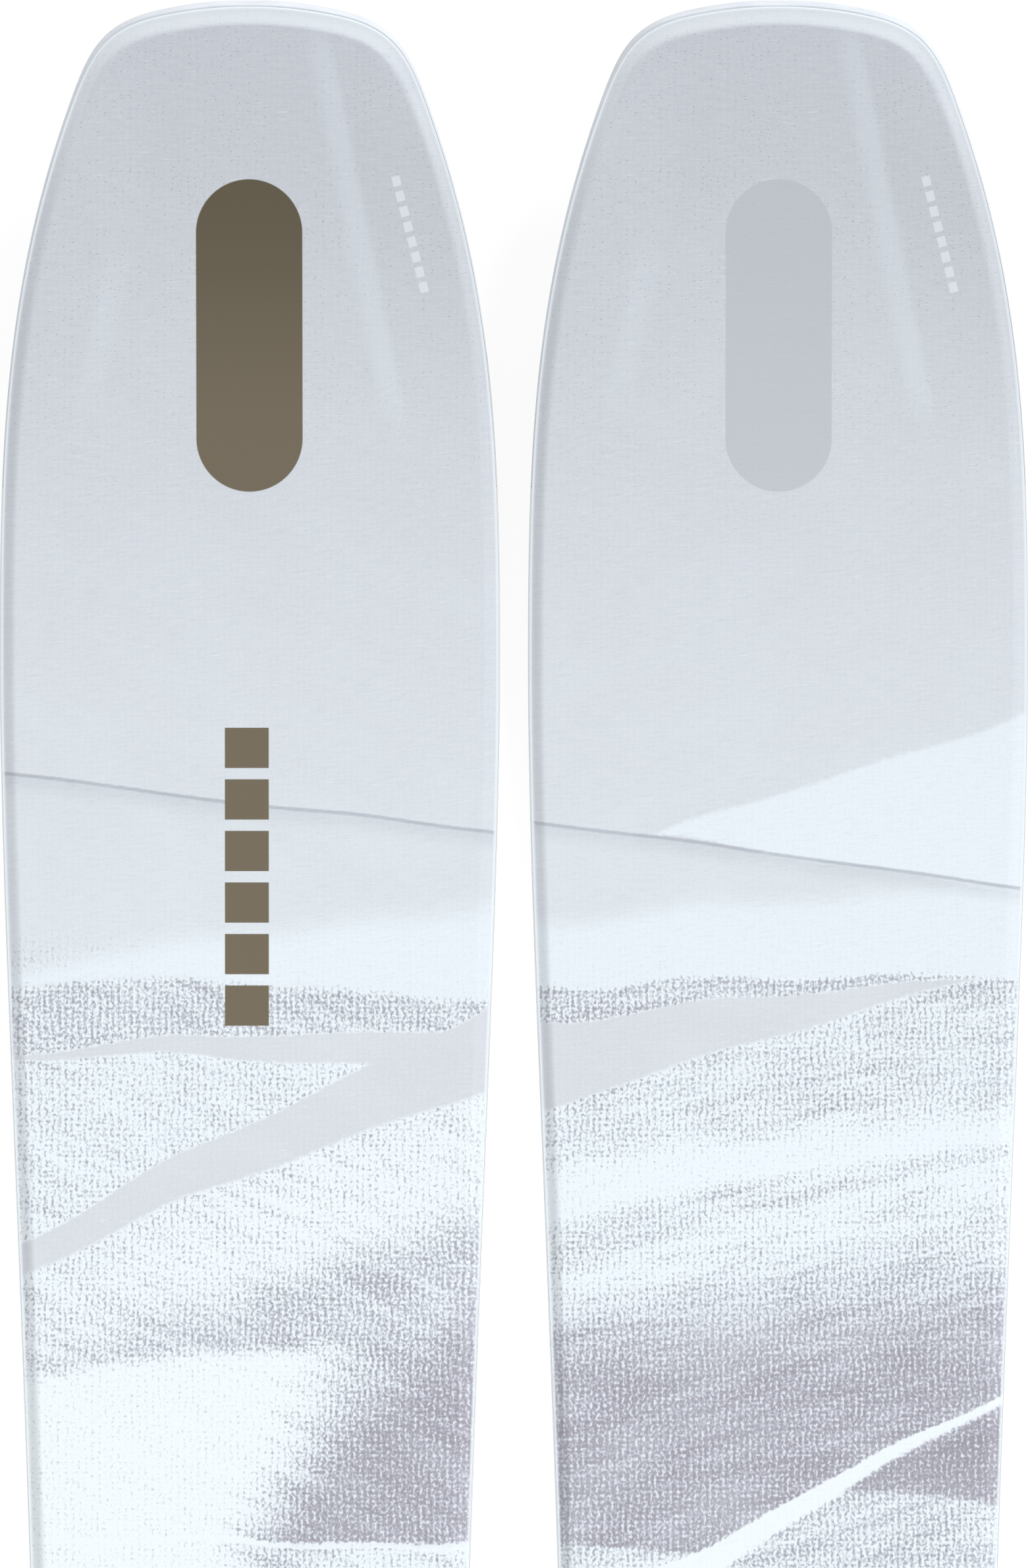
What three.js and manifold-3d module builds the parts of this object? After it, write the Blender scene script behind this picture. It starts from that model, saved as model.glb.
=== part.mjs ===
// A pair of wide freeride skis, left and right, lying side by side with their tips forward.
// Each ski is a glued laminate: base, steel edges, fibre layers, wood core, sidewalls and topsheet.
// Millimetres, +Z up, +Y towards the tips. The origin is on the floor, midway between the two skis
// and midway between tip and tail.

import * as THREE from "three";
import Module from "manifold-3d";
import { mergeVertices } from "three/addons/utils/BufferGeometryUtils.js";

// ---- Driving dimensions -------------------------------------------------------------------------

// Plan shape. A station is a distance back from the tip, measured along the floor.
const LENGTH = 1640;
const TIP_WIDTH = 132;
const WAIST_WIDTH = 102;
const TAIL_WIDTH = 122;
const TIP_WIDEST = 173;
const WAIST = 915;
const TAIL_WIDEST = 1525;
const SKI_SPACING = 139.4; // between the two centre lines
const TIP_ARC = 110; // radius of the blunt front
const TAIL_ARC = 120;
const ARC_ANGLE = 0.22; // how far each end arc reaches to either side
const TIP_CORNER = { station: 27, halfWidth: 47.2, heading: 0.346 };
const TAIL_CORNER = { station: 1614, halfWidth: 47.5, heading: -0.4 };
const END_FLAT = 0.2; // the lofts stop this short of the outline's two end points

// Side profile of the base.
const FRONT_CONTACT = 330;
const REAR_CONTACT = 1500;
const TIP_HEIGHT = 56;
const TAIL_HEIGHT = 20;
const TIP_ROCKER_POWER = 2.4;
const TAIL_ROCKER_POWER = 2.2;
const CAMBER = 4;

// Overall thickness along the ski.
const TIP_THICKNESS = 5.2;
const BODY_THICKNESS = 10.8;
const TAIL_THICKNESS = 5.6;
const TIP_TAPER = [100, 760];
const TAIL_TAPER = [1070, 1570];

// The shovel's raised wings: a crease on each side of the middle, and a slope outside it.
const WING_SLOPE = 0.08;
const WING_START = 2;
const WING_FULL = 45;
const WING_END = 115;
const CREASE_AT_TIP = 21;
const CREASE_AT_END = 38;

// Layer levels, measured up from the underside of the base.
const GLUE = 0.05;
const BASE_TOP = 1.3;
const MESH_TOP_AT_TIP = 1.7;
const EDGE_TOP = 1.8;
const DAMPING_TOP = 2.15;
const LAMINATE_TOP = 2.75;
const CORE_BOTTOM = LAMINATE_TOP + GLUE;

// Layer depths, measured down from the top of the ski.
const TOPSHEET = 0.5;
const UPPER_TOP = TOPSHEET + GLUE;
const UPPER_BOTTOM = 1.1;
const CORE_TOP = UPPER_BOTTOM + GLUE;
const BACKBONE = 0.4;

// Insets from the plan outline.
const EDGE_WIDTH = 2;
const FLANGE_WIDTH = 6;
const DAMPING_WIDTH = 8;
const SIDEWALL_WIDTH = 9;
const TIP_RIM_WIDTH = 2;
const SIDE_INSET = 0.3; // of the sidewall and the layers whose edges it lines up with
const SIDE_GAP = 0.3; // between neighbours in one layer
const LIP = 0.5; // the topsheet's outer edge
const SHOULDER = 4.9; // where the topsheet's rolled edge meets its flat
const ROLL_DROP = { thin: 1.6, perThickness: 0.21 }; // how far the rolled edge falls
const ROLL_STEPS = [0, 0.45, 1];
const TOE = 0.4; // the level strip under the topsheet's lip
const NOSE_SHARE = 0.8; // insets near the tip are at most this share of the distance from it
const BEND_SHARE = 0.75; // where a layer narrower than the crease bends, as a share of its width

// Where the pieces begin and end along the ski.
const POCKET_FROM = TIP_RIM_WIDTH + SIDE_GAP; // the hollow side of the tip spacer
const STRIPS_FROM = 14;
const UPPER_FROM = 23;
const EDGES_FROM = 92;
const CORE_FROM = 127;
const CORE_TO = 1532;
const BACKBONE_FROM = 300;
const BACKBONE_TO = 1400;
const LAYERS_TO = 1618.2;
const PROTECTOR_FROM = LAYERS_TO + SIDE_GAP;
const STEP = 0.1; // the length over which a layer's section changes abruptly

const STRINGERS = 5;
const STRINGER_WIDTH = 20;

// The tail protector's bevels, and its notch for a climbing skin's clip.
const BEVEL_BELOW = { across: 1.2, up: 0.5 };
const BEVEL_ABOVE = { across: 1.5, up: 1 };
const NOTCH_RADIUS = 9;
const NOTCH_DEPTH = 6;
const NOTCH_SIDES = 28;

// ---- Plan outline -------------------------------------------------------------------------------

// Carries the path on to a point as one smooth bend, leaving and arriving at the given headings.
function bendTo(path, station, halfWidth, leaving, arriving, leavingReach, arrivingReach) {
  const start = path.currentPoint;
  path.bezierCurveTo(
    start.x + leavingReach * Math.cos(leaving),
    start.y + leavingReach * Math.sin(leaving),
    station - arrivingReach * Math.cos(arriving),
    halfWidth - arrivingReach * Math.sin(arriving),
    station,
    halfWidth,
  );
}

// The right half of the outline, tip to tail: x is the station and y the half width.
function planOutline() {
  const across = Math.PI / 2 - ARC_ANGLE;
  const tailArcStation = LENGTH - TAIL_ARC * (1 - Math.cos(ARC_ANGLE));
  const tailArcHalfWidth = TAIL_ARC * Math.sin(ARC_ANGLE);
  const path = new THREE.Path();
  path.absarc(TIP_ARC, 0, TIP_ARC, Math.PI, Math.PI - ARC_ANGLE, true);
  bendTo(path, TIP_CORNER.station, TIP_CORNER.halfWidth, across, TIP_CORNER.heading, 15.3, 14.3);
  bendTo(path, TIP_WIDEST, TIP_WIDTH / 2, TIP_CORNER.heading, 0, 51.5, 56);
  bendTo(path, WAIST, WAIST_WIDTH / 2, 0, 0, 113, 492);
  bendTo(path, TAIL_WIDEST, TAIL_WIDTH / 2, 0, 0, 330, 90);
  bendTo(path, TAIL_CORNER.station, TAIL_CORNER.halfWidth, 0, TAIL_CORNER.heading, 37, 34);
  bendTo(path, tailArcStation, tailArcHalfWidth, TAIL_CORNER.heading, -across, 12, 12);
  path.absarc(LENGTH - TAIL_ARC, 0, TAIL_ARC, ARC_ANGLE, 0, true);
  return path.getPoints(150);
}

const outline = planOutline();
const inwards = outline.map((_, i) => {
  const before = outline[Math.max(0, i - 1)];
  const after = outline[Math.min(outline.length - 1, i + 1)];
  const along = after.clone().sub(before).normalize();
  return new THREE.Vector2(along.y, -along.x);
});

// Half of the ski's width at a station, along the line that runs a constant inset inside the outline.
function halfWidth(station, inset) {
  const at = (i) => outline[i].clone().addScaledVector(inwards[i], inset);
  let low = 0;
  let high = outline.length - 1;
  while (high - low > 1) {
    const middle = Math.floor((low + high) / 2);
    if (at(middle).x > station) high = middle;
    else low = middle;
  }
  const before = at(low);
  const after = at(high);
  const share = (station - before.x) / (after.x - before.x);
  return THREE.MathUtils.lerp(before.y, after.y, THREE.MathUtils.clamp(share, 0, 1));
}

// ---- Side profile -------------------------------------------------------------------------------

// Points from one station to another, spaced ever wider as the power rises above 1.
function spread(from, to, count, power = 1) {
  return Array.from({ length: count }, (_, i) => from + (to - from) * (i / count) ** power);
}

// The stations that all the layers share, closest together where the outline turns.
const STATIONS = [
  ...spread(END_FLAT, UPPER_FROM, 6, 2),
  ...spread(UPPER_FROM, EDGES_FROM, 6, 1.2),
  ...spread(EDGES_FROM, CORE_FROM, 3),
  ...spread(CORE_FROM, FRONT_CONTACT, 5),
  ...spread(FRONT_CONTACT, 850, 4),
  850,
  980, // level with the one before, on the flat of the camber
  ...spread(1110, REAR_CONTACT, 3),
  ...spread(REAR_CONTACT, LAYERS_TO, 5),
  ...spread(LENGTH - END_FLAT, PROTECTOR_FROM, 5, 2).reverse(),
];

// Turns a smooth function of the station into the chords between shared stations, so that
// neighbouring layers keep the same facets wherever they begin and end.
function chords(curve) {
  const values = STATIONS.map(curve);
  return (station) => {
    const after = Math.min(STATIONS.length - 1, Math.max(1, STATIONS.findIndex((s) => s >= station)));
    const span = STATIONS[after] - STATIONS[after - 1];
    const share = (station - STATIONS[after - 1]) / span;
    return values[after - 1] + (values[after] - values[after - 1]) * share;
  };
}

function rocker(station) {
  const ahead = (FRONT_CONTACT - station) / FRONT_CONTACT;
  const behind = (station - REAR_CONTACT) / (LENGTH - REAR_CONTACT);
  if (ahead > 0) return TIP_HEIGHT * ahead ** TIP_ROCKER_POWER;
  if (behind > 0) return TAIL_HEIGHT * behind ** TAIL_ROCKER_POWER;
  const turn = (2 * Math.PI * (station - FRONT_CONTACT)) / (REAR_CONTACT - FRONT_CONTACT);
  return (CAMBER * (1 - Math.cos(turn))) / 2;
}

const tilt = (station) => Math.atan((rocker(station + 1) - rocker(station - 1)) / 2);

const baseHeight = chords(rocker);
const upright = chords((station) => Math.cos(tilt(station)));
const leanBack = chords((station) => -Math.sin(tilt(station)));

const thickness = chords((station) => {
  const front = THREE.MathUtils.smoothstep(station, ...TIP_TAPER);
  const rear = THREE.MathUtils.smoothstep(station, ...TAIL_TAPER);
  return (
    TIP_THICKNESS + (BODY_THICKNESS - TIP_THICKNESS) * front - (BODY_THICKNESS - TAIL_THICKNESS) * rear
  );
});

const crease = (station) =>
  THREE.MathUtils.lerp(CREASE_AT_TIP, CREASE_AT_END, THREE.MathUtils.clamp(station / WING_END, 0, 1));

const wingSlope = chords(
  (station) =>
    WING_SLOPE *
    THREE.MathUtils.smoothstep(station, WING_START, WING_FULL) *
    (1 - THREE.MathUtils.smoothstep(station, WING_FULL, WING_END)),
);

const wingRise = (station, x) => wingSlope(station) * Math.max(0, Math.abs(x) - crease(station));

// ---- The topsheet's rolled edge -----------------------------------------------------------------

function rollDrop(station) {
  return ROLL_DROP.thin + ROLL_DROP.perThickness * (thickness(station) - TIP_THICKNESS);
}

// The roll narrows close behind the tip, where it also faces forward.
function rollInset(station, share) {
  return LIP + share * Math.min(SHOULDER - LIP, NOSE_SHARE * (station - LIP));
}

function rollHeight(station, inset) {
  const share = Math.min(1, (inset - LIP) / (SHOULDER - LIP));
  const fallen = (1 + Math.cos(Math.PI * share)) / 2;
  return thickness(station) - (rollDrop(station) - TOPSHEET) * fallen;
}

// ---- Sections across the ski --------------------------------------------------------------------
// A section is a closed list of [x, z] points, anticlockwise as seen from behind the ski.

// A section from its right half, listed upwards: the left half mirrors it.
const mirrored = (right) => [...right, ...right.map(([x, z]) => [-x, z]).reverse()];

// Where a layer of this half width bends at the crease.
const bendAt = (station, width) => Math.min(crease(station), BEND_SHARE * width);

function slab(station, width, bottom, top) {
  const bend = bendAt(station, width);
  return mirrored([
    [bend, bottom],
    [width, bottom],
    [width, top],
    [bend, top],
  ]);
}

function baseSection(station) {
  return slab(station, halfWidth(station, EDGE_WIDTH + SIDE_GAP), 0, BASE_TOP);
}

function carbonMeshSection(station) {
  const ahead = station < EDGES_FROM;
  const inset = (ahead ? TIP_RIM_WIDTH : FLANGE_WIDTH) + SIDE_GAP;
  return slab(station, halfWidth(station, inset), BASE_TOP + GLUE, ahead ? MESH_TOP_AT_TIP : EDGE_TOP);
}

const laminateInset = (station) => (station < CORE_FROM ? TIP_RIM_WIDTH + SIDE_GAP : SIDE_INSET);

// The middle of the lower laminate lies between the damping strips, and its wings lie over them.
function lowerLaminateSection(station) {
  const outer = laminateInset(station);
  const inner = station < STRIPS_FROM ? outer + SIDE_GAP : DAMPING_WIDTH + SIDE_GAP;
  const middle = halfWidth(station, inner);
  const width = halfWidth(station, outer);
  return mirrored([
    [bendAt(station, middle), EDGE_TOP + GLUE],
    [middle, EDGE_TOP + GLUE],
    [middle, DAMPING_TOP + GLUE],
    [width, DAMPING_TOP + GLUE],
    [width, LAMINATE_TOP],
    [bendAt(station, middle), LAMINATE_TOP],
  ]);
}

function upperLaminateSection(station) {
  const top = thickness(station);
  const width = halfWidth(station, SHOULDER + SIDE_GAP);
  return slab(station, width, top - UPPER_BOTTOM, top - UPPER_TOP);
}

function topsheetSection(station) {
  const rolled = ROLL_STEPS.map((share) => {
    const inset = rollInset(station, share);
    return [halfWidth(station, inset), rollHeight(station, inset)];
  });
  const [flatEdge, top] = rolled.at(-1);
  const bend = bendAt(station, flatEdge);
  const above = [...rolled, [bend, top]];
  const below = above.map(([x, z]) => [x, z - TOPSHEET]).reverse();
  return mirrored([...below, ...above]);
}

// The tip spacer fills the core's place in the shovel. Its rim wraps the other layers' edges, down
// to the floor of the base until the steel edges begin.
function tipSpacerSection(station) {
  const top = thickness(station);
  const aheadOfEdges = station < EDGES_FROM;
  const rimBottom = aheadOfEdges ? 0 : EDGE_TOP + GLUE;
  const rimTop = top - rollDrop(station) - 2 * GLUE;
  const toe = LIP + TOE;
  const inner = SHOULDER + SIDE_GAP;
  const shrink = Math.min(1, (NOSE_SHARE * station) / inner);
  const rise = THREE.MathUtils.clamp((inner * shrink - toe) / (inner - toe), 0, 1);
  const plateTop = rimTop + (top - CORE_TOP - rimTop) * rise;
  const plateEdge = halfWidth(station, inner * shrink);
  const pocket = halfWidth(station, Math.min(TIP_RIM_WIDTH, NOSE_SHARE * station));
  const pocketTop = station < POCKET_FROM ? rimBottom + STEP : CORE_BOTTOM;
  const outer = halfWidth(station, aheadOfEdges ? 0 : SIDE_INSET);
  return mirrored([
    [bendAt(station, pocket), pocketTop],
    [pocket, pocketTop],
    [pocket, rimBottom],
    [outer, rimBottom],
    [outer, rimTop],
    [halfWidth(station, toe * shrink), rimTop],
    [plateEdge, plateTop],
    [bendAt(station, plateEdge), plateTop],
  ]);
}

function tailSpacerSection(station) {
  const width = halfWidth(station, SIDEWALL_WIDTH + SIDE_GAP);
  return slab(station, width, CORE_BOTTOM, thickness(station) - CORE_TOP);
}

function backboneSection(station) {
  const width = 1.5 * STRINGER_WIDTH - GLUE;
  const top = thickness(station) - CORE_TOP;
  return mirrored([
    [width, top - BACKBONE],
    [width, top],
  ]);
}

// Stringers are numbered from the left. The outermost two widen and narrow with the ski.
function stringerSection(station, number) {
  const place = number - (STRINGERS - 1) / 2;
  const edge = halfWidth(station, SIDEWALL_WIDTH + SIDE_GAP);
  const outermost = Math.abs(place) === (STRINGERS - 1) / 2;
  let left = (place - 0.5) * STRINGER_WIDTH + GLUE;
  let right = (place + 0.5) * STRINGER_WIDTH - GLUE;
  if (outermost && place < 0) left = -edge;
  if (outermost && place > 0) right = edge;
  const underBackbone = !outermost && station >= BACKBONE_FROM && station <= BACKBONE_TO;
  const top = thickness(station) - CORE_TOP - (underBackbone ? BACKBONE + GLUE : 0);
  return [
    [left, CORE_BOTTOM],
    [right, CORE_BOTTOM],
    [right, top],
    [left, top],
  ];
}

function sidewallSection(station) {
  const top = thickness(station);
  const rimTop = top - rollDrop(station) - GLUE;
  return [
    [halfWidth(station, SIDEWALL_WIDTH), CORE_BOTTOM],
    [halfWidth(station, SIDE_INSET), CORE_BOTTOM],
    [halfWidth(station, SIDE_INSET), rimTop],
    [halfWidth(station, LIP + TOE), rimTop],
    [halfWidth(station, SHOULDER + SIDE_GAP), top - CORE_TOP],
    [halfWidth(station, SIDEWALL_WIDTH), top - CORE_TOP],
  ];
}

// The steel edge: a square corner outside, and a thin flange that anchors it over the base.
function steelEdgeSection(station) {
  const outer = halfWidth(station, 0);
  const corner = halfWidth(station, EDGE_WIDTH);
  const flange = halfWidth(station, FLANGE_WIDTH);
  return [
    [flange, BASE_TOP + GLUE],
    [corner, BASE_TOP + GLUE],
    [corner, 0],
    [outer, 0],
    [outer, EDGE_TOP],
    [flange, EDGE_TOP],
  ];
}

function dampingSection(station) {
  const inner = halfWidth(station, DAMPING_WIDTH);
  const outer = halfWidth(station, laminateInset(station) + GLUE);
  return [
    [inner, EDGE_TOP + GLUE],
    [outer, EDGE_TOP + GLUE],
    [outer, DAMPING_TOP],
    [inner, DAMPING_TOP],
  ];
}

function protectorSection(station) {
  const top = thickness(station);
  const width = halfWidth(station, GLUE);
  return mirrored([
    [width - BEVEL_BELOW.across, 0],
    [width, BEVEL_BELOW.up],
    [width, top - BEVEL_ABOVE.up],
    [width - BEVEL_ABOVE.across, top],
  ]);
}

// ---- Solids -------------------------------------------------------------------------------------

const flipped = (section) => section.map(([x, z]) => [-x, z]).reverse();

// A section stands square to the base, so it leans back where the tip rises.
const placed = (station, [x, z]) => [
  x,
  LENGTH / 2 - station - z * leanBack(station),
  baseHeight(station) + z * upright(station) + wingRise(station, x),
];

function capFaces(points, firstIndex, facesForward) {
  const contour = points.map(([x, , z]) => new THREE.Vector2(x, z));
  return THREE.ShapeUtils.triangulateShape(contour, []).map(([a, b, c]) => {
    const area = THREE.ShapeUtils.area([contour[a], contour[b], contour[c]]);
    const face = area > 0 === facesForward ? [c, b, a] : [a, b, c];
    return face.map((i) => firstIndex + i);
  });
}

// A solid from one section to the next. The diagonals lean the same way in every layer.
function loft(from, to, sectionAt, abruptAt = []) {
  const between = [...STATIONS, ...abruptAt.flatMap((station) => [station - STEP, station])];
  const inside = between.filter((station) => station > from + STEP / 2 && station < to - STEP / 2);
  const ordered = [from, ...new Set(inside.sort((a, b) => a - b)), to];
  const rings = ordered.map((station) => sectionAt(station).map((point) => placed(station, point)));
  const count = rings[0].length;
  const faces = [];
  for (let i = 0; i + 1 < rings.length; i += 1) {
    for (let j = 0; j < count; j += 1) {
      const k = (j + 1) % count;
      const [front, rear] = [i * count, (i + 1) * count];
      const goesOutwards = Math.abs(rings[i][k][0]) > Math.abs(rings[i][j][0]);
      if (goesOutwards) faces.push([rear + j, front + j, front + k], [rear + j, front + k, rear + k]);
      else faces.push([rear + j, front + j, rear + k], [front + j, front + k, rear + k]);
    }
  }
  faces.push(...capFaces(rings[0], 0, true));
  faces.push(...capFaces(rings.at(-1), (rings.length - 1) * count, false));
  const geometry = new THREE.BufferGeometry();
  geometry.setAttribute("position", new THREE.Float32BufferAttribute(rings.flat(2), 3));
  geometry.setIndex(faces.flat());
  return geometry;
}

const manifold = await Module();
manifold.setup();

function toSolid(geometry) {
  geometry.deleteAttribute("normal");
  geometry.deleteAttribute("uv");
  const merged = mergeVertices(geometry);
  const mesh = new manifold.Mesh({
    numProp: 3,
    vertProperties: new Float32Array(merged.attributes.position.array),
    triVerts: new Uint32Array(merged.index.array),
  });
  return new manifold.Manifold(mesh);
}

function fromSolid(solid) {
  const { vertProperties, triVerts } = solid.getMesh();
  const geometry = new THREE.BufferGeometry();
  geometry.setAttribute("position", new THREE.Float32BufferAttribute(vertProperties, 3));
  geometry.setIndex([...triVerts]);
  return geometry;
}

// The tail protector, with the round notch that hooks the tail clip of a climbing skin.
function tailProtector() {
  const body = loft(PROTECTOR_FROM, LENGTH - END_FLAT, protectorSection);
  const cutter = new THREE.CylinderGeometry(NOTCH_RADIUS, NOTCH_RADIUS, 4 * TAIL_HEIGHT, NOTCH_SIDES);
  cutter.rotateX(Math.PI / 2);
  cutter.translate(0, -LENGTH / 2 - NOTCH_RADIUS + NOTCH_DEPTH, TAIL_HEIGHT);
  return fromSolid(toSolid(body).subtract(toSolid(cutter)));
}

// ---- Materials ----------------------------------------------------------------------------------

function material(color, roughness, metalness = 0) {
  return new THREE.MeshStandardMaterial({ color, roughness, metalness });
}

const MATERIALS = {
  topsheet: material("#ccd2d9", 0.4),
  rim: material("#e0e5ea", 0.45),
  sidewall: material("#d9dde2", 0.5),
  base: material("#24262a", 0.35),
  steel: material("#b4b7bb", 0.3, 1),
  aluminium: material("#c3c6ca", 0.35, 1),
  fibre: material("#cfd3b8", 0.5),
  carbon: material("#1d1e20", 0.4),
  rubber: material("#17181a", 0.8),
  paulownia: material("#d8bf94", 0.7),
  poplar: material("#e3d2ad", 0.7),
  protector: material("#4d4a44", 0.55),
};

// ---- Assembly -----------------------------------------------------------------------------------

function layers() {
  return [
    ["topsheet", "topsheet", loft(LIP + SIDE_GAP, LAYERS_TO, topsheetSection)],
    ["upper_laminate", "fibre", loft(UPPER_FROM, LAYERS_TO, upperLaminateSection)],
    [
      "titanal_backbone",
      "aluminium",
      loft(BACKBONE_FROM + SIDE_GAP, BACKBONE_TO - SIDE_GAP, backboneSection),
    ],
    [
      "tip_spacer",
      "rim",
      loft(END_FLAT, CORE_FROM - SIDE_GAP, tipSpacerSection, [POCKET_FROM, EDGES_FROM]),
    ],
    ["tail_spacer", "rim", loft(CORE_TO + SIDE_GAP, LAYERS_TO, tailSpacerSection)],
    [
      "lower_laminate",
      "fibre",
      loft(POCKET_FROM + 2 * SIDE_GAP, LAYERS_TO, lowerLaminateSection, [STRIPS_FROM, CORE_FROM]),
    ],
    [
      "carbon_mesh",
      "carbon",
      loft(POCKET_FROM + SIDE_GAP, LAYERS_TO, carbonMeshSection, [EDGES_FROM]),
    ],
    ["base", "base", loft(POCKET_FROM + SIDE_GAP, LAYERS_TO, baseSection)],
    ["tail_protector", "protector", tailProtector()],
  ];
}

function coreStringers() {
  return Array.from({ length: STRINGERS }, (_, number) => {
    const section = (station) => stringerSection(station, number);
    const geometry = loft(CORE_FROM, CORE_TO, section, [BACKBONE_FROM, BACKBONE_TO + STEP]);
    return [`core_stringer_${number + 1}`, number % 2 ? "paulownia" : "poplar", geometry];
  });
}

// A piece that runs along one side of the ski, and its mirror image along the other.
function pair(name, finish, from, section, abruptAt) {
  const leftSection = (station) => flipped(section(station));
  return [
    [`${name}_left`, finish, loft(from, LAYERS_TO, leftSection, abruptAt)],
    [`${name}_right`, finish, loft(from, LAYERS_TO, section, abruptAt)],
  ];
}

function skiPieces() {
  return [
    ...layers(),
    ...coreStringers(),
    ...pair("sidewall", "sidewall", CORE_FROM, sidewallSection),
    ...pair("steel_edge", "steel", EDGES_FROM + 2 * STEP, steelEdgeSection),
    ...pair("damping_strip", "rubber", STRIPS_FROM + 2 * STEP, dampingSection, [CORE_FROM]),
  ];
}

function ski(side, x) {
  const parts = new THREE.Group();
  parts.position.x = x;
  for (const [name, finish, geometry] of skiPieces()) {
    const mesh = new THREE.Mesh(geometry, MATERIALS[finish]);
    mesh.name = `${side}_${name}`;
    parts.add(mesh);
  }
  return parts;
}

const group = new THREE.Group();
group.add(ski("left", -SKI_SPACING / 2), ski("right", SKI_SPACING / 2));

export default group;
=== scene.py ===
import math

import bmesh
import bpy
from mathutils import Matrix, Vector


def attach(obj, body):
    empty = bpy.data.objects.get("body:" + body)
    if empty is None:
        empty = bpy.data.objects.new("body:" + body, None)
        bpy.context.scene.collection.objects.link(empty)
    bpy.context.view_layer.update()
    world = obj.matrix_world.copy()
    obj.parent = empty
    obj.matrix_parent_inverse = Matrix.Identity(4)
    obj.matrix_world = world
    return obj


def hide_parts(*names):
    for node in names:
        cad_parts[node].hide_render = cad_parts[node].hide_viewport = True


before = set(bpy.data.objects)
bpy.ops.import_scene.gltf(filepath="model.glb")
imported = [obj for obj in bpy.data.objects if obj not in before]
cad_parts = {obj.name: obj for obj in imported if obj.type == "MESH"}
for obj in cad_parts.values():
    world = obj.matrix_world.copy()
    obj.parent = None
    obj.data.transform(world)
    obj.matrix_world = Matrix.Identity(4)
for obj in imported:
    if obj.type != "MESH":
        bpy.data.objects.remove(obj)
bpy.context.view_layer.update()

# The looks of a pair of freeride skis. Every piece of both skis is rebuilt here with rounded edges
# and smooth curves, layer by layer, in the same places as the CAD frame's pieces.
#
# A piece is first built flat, in millimetres: x across the ski from its centre line, a station back
# from the tip, and a level above the underside of the base. It is then bent along the ski's side
# profile and moved to its ski. An inset is measured inwards from the plan outline.

# ---- Dimensions, as in the CAD part -------------------------------------------------------------
# The three with the CAD's value beside them differ a little, to keep the curves here in its box.

MM = 0.001
LENGTH = 1640
SKIS = {"left": -69.7, "right": 69.7}  # where the two centre lines run

# Plan outline: the end arcs, and (station, half width) places with the outline's heading there.
TIP_ARC = 110
TAIL_ARC = 120
ARC_ANGLE = 0.22
TIP_CORNER = (27, 47.2)
TIP_HEADING = 0.346
TIP_WIDEST = (173, 65.99)  # 66 in the CAD
WAIST = (915, 51)
TAIL_WIDEST = (1525, 61)
TAIL_CORNER = (1614, 47.5)
TAIL_HEADING = -0.4
END_FLAT = 0.2  # the pieces stop this short of the tip
TAIL_FLAT = 0.55  # and this short of the tail; 0.2 in the CAD

# Side profile of the base.
FRONT_CONTACT = 330
REAR_CONTACT = 1500
TIP_HEIGHT = 55.93  # 56 in the CAD
TAIL_HEIGHT = 20
TIP_ROCKER_POWER = 2.4
TAIL_ROCKER_POWER = 2.2
CAMBER = 4

# Overall thickness along the ski.
TIP_THICKNESS = 5.2
BODY_THICKNESS = 10.8
TAIL_THICKNESS = 5.6
TIP_TAPER = (100, 760)
TAIL_TAPER = (1070, 1570)

# The shovel's raised wings: a crease on each side of the middle, and a slope outside it.
WING_SLOPE = 0.08
WING_START = 2
WING_FULL = 45
WING_END = 115
CREASE_AT_TIP = 21
CREASE_AT_END = 38
BEND_SHARE = 0.75  # where a layer narrower than the crease bends, as a share of its width

# Layer levels, up from the underside of the base.
GLUE = 0.05
BASE_TOP = 1.3
MESH_TOP_AT_TIP = 1.7
EDGE_TOP = 1.8
DAMPING_TOP = 2.15
LAMINATE_TOP = 2.75
CORE_BOTTOM = LAMINATE_TOP + GLUE

# Layer depths, down from the top of the ski.
TOPSHEET = 0.5
UPPER_TOP = TOPSHEET + GLUE
UPPER_BOTTOM = 1.1
CORE_TOP = UPPER_BOTTOM + GLUE
BACKBONE = 0.4

# Insets from the plan outline.
EDGE_WIDTH = 2
FLANGE_WIDTH = 6
DAMPING_WIDTH = 8
SIDEWALL_WIDTH = 9
TIP_RIM_WIDTH = 2
SIDE_GAP = 0.3  # between neighbours in one layer
SHOULDER = 4.9  # where the topsheet's rolled edge meets its flat
TOE = 0.4  # the level strip under the topsheet's lip
THIN_DROP = 1.6  # how far the rolled edge falls where the ski is thinnest
DROP_PER_THICKNESS = 0.21

# Where the pieces begin and end along the ski.
STRIPS_FROM = 14
UPPER_FROM = 23
EDGES_FROM = 92
CORE_FROM = 127
CORE_TO = 1532
BACKBONE_FROM = 300
BACKBONE_TO = 1400
LAYERS_TO = 1618.2
PROTECTOR_FROM = LAYERS_TO + SIDE_GAP
STEP = 0.1  # the length over which a layer's section changes abruptly

STRINGERS = 5
STRINGER_WIDTH = 20

NOTCH_RADIUS = 9
NOTCH_DEPTH = 6

# ---- Finer shape, only here ---------------------------------------------------------------------

CREASE_SOFTNESS = 3.5  # how far the crease's bend reaches to either side
FOOT_INSET = 0.04  # of the sidewall and the layers whose edges it lines up with
EASE = 0.12  # radius of the small roundings
EASE_CORNER = 0.3  # how near such a rounding's middle point comes to the corner, as a share of EASE

# The topsheet's lip and the seam outside it. The rim shows round the tip, and hardly elsewhere.
TIP_LIP = 0.5
SIDE_LIP = 0.28
SEAM_AT_TIP = 0.3
SEAM_AT_SIDE = 0.03
SEAM_GAP = 0.02
SIDE_LOOK_FROM = (8, 34)  # the stations over which the tip's edge turns into the sides'

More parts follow.
